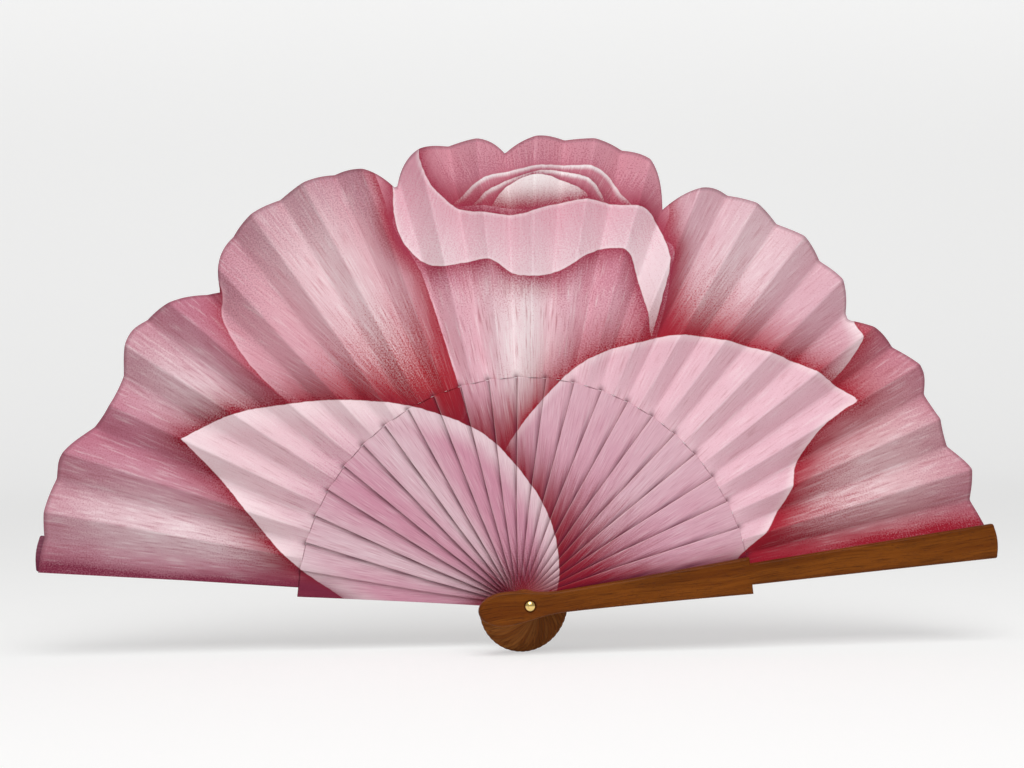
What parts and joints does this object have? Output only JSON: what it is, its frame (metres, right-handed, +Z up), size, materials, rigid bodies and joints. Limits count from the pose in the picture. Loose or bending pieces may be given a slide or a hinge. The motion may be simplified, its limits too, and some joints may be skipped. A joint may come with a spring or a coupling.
{
  "type": "hand fan",
  "caption": "Folding hand fan shown open: carved wooden guards and thin ribs turn on a brass rivet and carry a pleated, painted cloth leaf with a petal-shaped edge.",
  "frame": {"origin": "on the rivet's axis, half way through the stack of sticks", "axes": "the open fan stands upright: +X to the front guard's side, +Z up through the middle of the leaf, -Y towards the viewer, along the rivet"},
  "size_m": [0.4154, 0.0356, 0.2231],
  "materials": {
    "guard_wood": "oiled natural wood with a fine grain",
    "rib_wood": "thin wood painted pink on its front, natural at the heads",
    "leaf_cloth": "fine cotton, hand painted in matt pinks and crimson",
    "rivet_brass": "polished brass"
  },
  "bodies": {
    "front_guard": {"front_guard": "guard_wood", "rivet_pin": "rivet_brass", "rivet_washer": "rivet_brass", "rivet_cap": "rivet_brass", "leaf_start": "leaf_cloth"},
    "rib_01": {"rib_01": "rib_wood", "leaf_pleat_01": "leaf_cloth"},
    "rib_02": {"rib_02": "rib_wood", "leaf_pleat_02": "leaf_cloth"},
    "rib_03": {"rib_03": "rib_wood", "leaf_pleat_03": "leaf_cloth"},
    "rib_04": {"rib_04": "rib_wood", "leaf_pleat_04": "leaf_cloth"},
    "rib_05": {"rib_05": "rib_wood", "leaf_pleat_05": "leaf_cloth"},
    "rib_06": {"rib_06": "rib_wood", "leaf_pleat_06": "leaf_cloth"},
    "rib_07": {"rib_07": "rib_wood", "leaf_pleat_07": "leaf_cloth"},
    "rib_08": {"rib_08": "rib_wood", "leaf_pleat_08": "leaf_cloth"},
    "rib_09": {"rib_09": "rib_wood", "leaf_pleat_09": "leaf_cloth"},
    "rib_10": {"rib_10": "rib_wood", "leaf_pleat_10": "leaf_cloth"},
    "rib_11": {"rib_11": "rib_wood", "leaf_pleat_11": "leaf_cloth"},
    "rib_12": {"rib_12": "rib_wood", "leaf_pleat_12": "leaf_cloth"},
    "rib_13": {"rib_13": "rib_wood", "leaf_pleat_13": "leaf_cloth"},
    "rib_14": {"rib_14": "rib_wood", "leaf_pleat_14": "leaf_cloth"},
    "rib_15": {"rib_15": "rib_wood", "leaf_pleat_15": "leaf_cloth"},
    "rib_16": {"rib_16": "rib_wood", "leaf_pleat_16": "leaf_cloth"},
    "rib_17": {"rib_17": "rib_wood", "leaf_pleat_17": "leaf_cloth"},
    "rib_18": {"rib_18": "rib_wood", "leaf_pleat_18": "leaf_cloth"},
    "rib_19": {"rib_19": "rib_wood", "leaf_pleat_19": "leaf_cloth"},
    "rib_20": {"rib_20": "rib_wood", "leaf_pleat_20": "leaf_cloth"},
    "rib_21": {"rib_21": "rib_wood", "leaf_pleat_21": "leaf_cloth"},
    "rib_22": {"rib_22": "rib_wood", "leaf_pleat_22": "leaf_cloth"},
    "rear_guard": {"rear_guard": "guard_wood", "leaf_end": "leaf_cloth"}
  },
  "joints": [
    {"name": "open_close", "type": "hinge", "parent": "front_guard", "child": "rib_01", "pos_m": [0, 0, 0], "axis": [0, 1, 0], "range_deg": [0, 7.27], "deforming": ["leaf_start"]},
    {"name": "fold_02", "type": "hinge", "parent": "rib_01", "child": "rib_02", "pos_m": [0, 0, 0], "axis": [0, 1, 0], "range_deg": [0, 7.27], "deforming": ["leaf_pleat_01"]},
    {"name": "fold_03", "type": "hinge", "parent": "rib_02", "child": "rib_03", "pos_m": [0, 0, 0], "axis": [0, 1, 0], "range_deg": [0, 7.27], "deforming": ["leaf_pleat_02"]},
    {"name": "fold_04", "type": "hinge", "parent": "rib_03", "child": "rib_04", "pos_m": [0, 0, 0], "axis": [0, 1, 0], "range_deg": [0, 7.27], "deforming": ["leaf_pleat_03"]},
    {"name": "fold_05", "type": "hinge", "parent": "rib_04", "child": "rib_05", "pos_m": [0, 0, 0], "axis": [0, 1, 0], "range_deg": [0, 7.27], "deforming": ["leaf_pleat_04"]},
    {"name": "fold_06", "type": "hinge", "parent": "rib_05", "child": "rib_06", "pos_m": [0, 0, 0], "axis": [0, 1, 0], "range_deg": [0, 7.27], "deforming": ["leaf_pleat_05"]},
    {"name": "fold_07", "type": "hinge", "parent": "rib_06", "child": "rib_07", "pos_m": [0, 0, 0], "axis": [0, 1, 0], "range_deg": [0, 7.27], "deforming": ["leaf_pleat_06"]},
    {"name": "fold_08", "type": "hinge", "parent": "rib_07", "child": "rib_08", "pos_m": [0, 0, 0], "axis": [0, 1, 0], "range_deg": [0, 7.27], "deforming": ["leaf_pleat_07"]},
    {"name": "fold_09", "type": "hinge", "parent": "rib_08", "child": "rib_09", "pos_m": [0, 0, 0], "axis": [0, 1, 0], "range_deg": [0, 7.27], "deforming": ["leaf_pleat_08"]},
    {"name": "fold_10", "type": "hinge", "parent": "rib_09", "child": "rib_10", "pos_m": [0, 0, 0], "axis": [0, 1, 0], "range_deg": [0, 7.27], "deforming": ["leaf_pleat_09"]},
    {"name": "fold_11", "type": "hinge", "parent": "rib_10", "child": "rib_11", "pos_m": [0, 0, 0], "axis": [0, 1, 0], "range_deg": [0, 7.27], "deforming": ["leaf_pleat_10"]},
    {"name": "fold_12", "type": "hinge", "parent": "rib_11", "child": "rib_12", "pos_m": [0, 0, 0], "axis": [0, 1, 0], "range_deg": [0, 7.27], "deforming": ["leaf_pleat_11"]},
    {"name": "fold_13", "type": "hinge", "parent": "rib_12", "child": "rib_13", "pos_m": [0, 0, 0], "axis": [0, 1, 0], "range_deg": [0, 7.27], "deforming": ["leaf_pleat_12"]},
    {"name": "fold_14", "type": "hinge", "parent": "rib_13", "child": "rib_14", "pos_m": [0, 0, 0], "axis": [0, 1, 0], "range_deg": [0, 7.27], "deforming": ["leaf_pleat_13"]},
    {"name": "fold_15", "type": "hinge", "parent": "rib_14", "child": "rib_15", "pos_m": [0, 0, 0], "axis": [0, 1, 0], "range_deg": [0, 7.27], "deforming": ["leaf_pleat_14"]},
    {"name": "fold_16", "type": "hinge", "parent": "rib_15", "child": "rib_16", "pos_m": [0, 0, 0], "axis": [0, 1, 0], "range_deg": [0, 7.27], "deforming": ["leaf_pleat_15"]},
    {"name": "fold_17", "type": "hinge", "parent": "rib_16", "child": "rib_17", "pos_m": [0, 0, 0], "axis": [0, 1, 0], "range_deg": [0, 7.27], "deforming": ["leaf_pleat_16"]},
    {"name": "fold_18", "type": "hinge", "parent": "rib_17", "child": "rib_18", "pos_m": [0, 0, 0], "axis": [0, 1, 0], "range_deg": [0, 7.27], "deforming": ["leaf_pleat_17"]},
    {"name": "fold_19", "type": "hinge", "parent": "rib_18", "child": "rib_19", "pos_m": [0, 0, 0], "axis": [0, 1, 0], "range_deg": [0, 7.27], "deforming": ["leaf_pleat_18"]},
    {"name": "fold_20", "type": "hinge", "parent": "rib_19", "child": "rib_20", "pos_m": [0, 0, 0], "axis": [0, 1, 0], "range_deg": [0, 7.27], "deforming": ["leaf_pleat_19"]},
    {"name": "fold_21", "type": "hinge", "parent": "rib_20", "child": "rib_21", "pos_m": [0, 0, 0], "axis": [0, 1, 0], "range_deg": [0, 7.27], "deforming": ["leaf_pleat_20"]},
    {"name": "fold_22", "type": "hinge", "parent": "rib_21", "child": "rib_22", "pos_m": [0, 0, 0], "axis": [0, 1, 0], "range_deg": [0, 7.27], "deforming": ["leaf_pleat_21"]},
    {"name": "fold_23", "type": "hinge", "parent": "rib_22", "child": "rear_guard", "pos_m": [0, 0, 0], "axis": [0, 1, 0], "range_deg": [0, 7.27], "deforming": ["leaf_pleat_22"]}
  ],
  "couplings": [
    {"joint": "fold_02", "follows": "open_close", "ratio": 1},
    {"joint": "fold_03", "follows": "open_close", "ratio": 1},
    {"joint": "fold_04", "follows": "open_close", "ratio": 1},
    {"joint": "fold_05", "follows": "open_close", "ratio": 1},
    {"joint": "fold_06", "follows": "open_close", "ratio": 1},
    {"joint": "fold_07", "follows": "open_close", "ratio": 1},
    {"joint": "fold_08", "follows": "open_close", "ratio": 1},
    {"joint": "fold_09", "follows": "open_close", "ratio": 1},
    {"joint": "fold_10", "follows": "open_close", "ratio": 1},
    {"joint": "fold_11", "follows": "open_close", "ratio": 1},
    {"joint": "fold_12", "follows": "open_close", "ratio": 1},
    {"joint": "fold_13", "follows": "open_close", "ratio": 1},
    {"joint": "fold_14", "follows": "open_close", "ratio": 1},
    {"joint": "fold_15", "follows": "open_close", "ratio": 1},
    {"joint": "fold_16", "follows": "open_close", "ratio": 1},
    {"joint": "fold_17", "follows": "open_close", "ratio": 1},
    {"joint": "fold_18", "follows": "open_close", "ratio": 1},
    {"joint": "fold_19", "follows": "open_close", "ratio": 1},
    {"joint": "fold_20", "follows": "open_close", "ratio": 1},
    {"joint": "fold_21", "follows": "open_close", "ratio": 1},
    {"joint": "fold_22", "follows": "open_close", "ratio": 1},
    {"joint": "fold_23", "follows": "open_close", "ratio": 1}
  ]
}
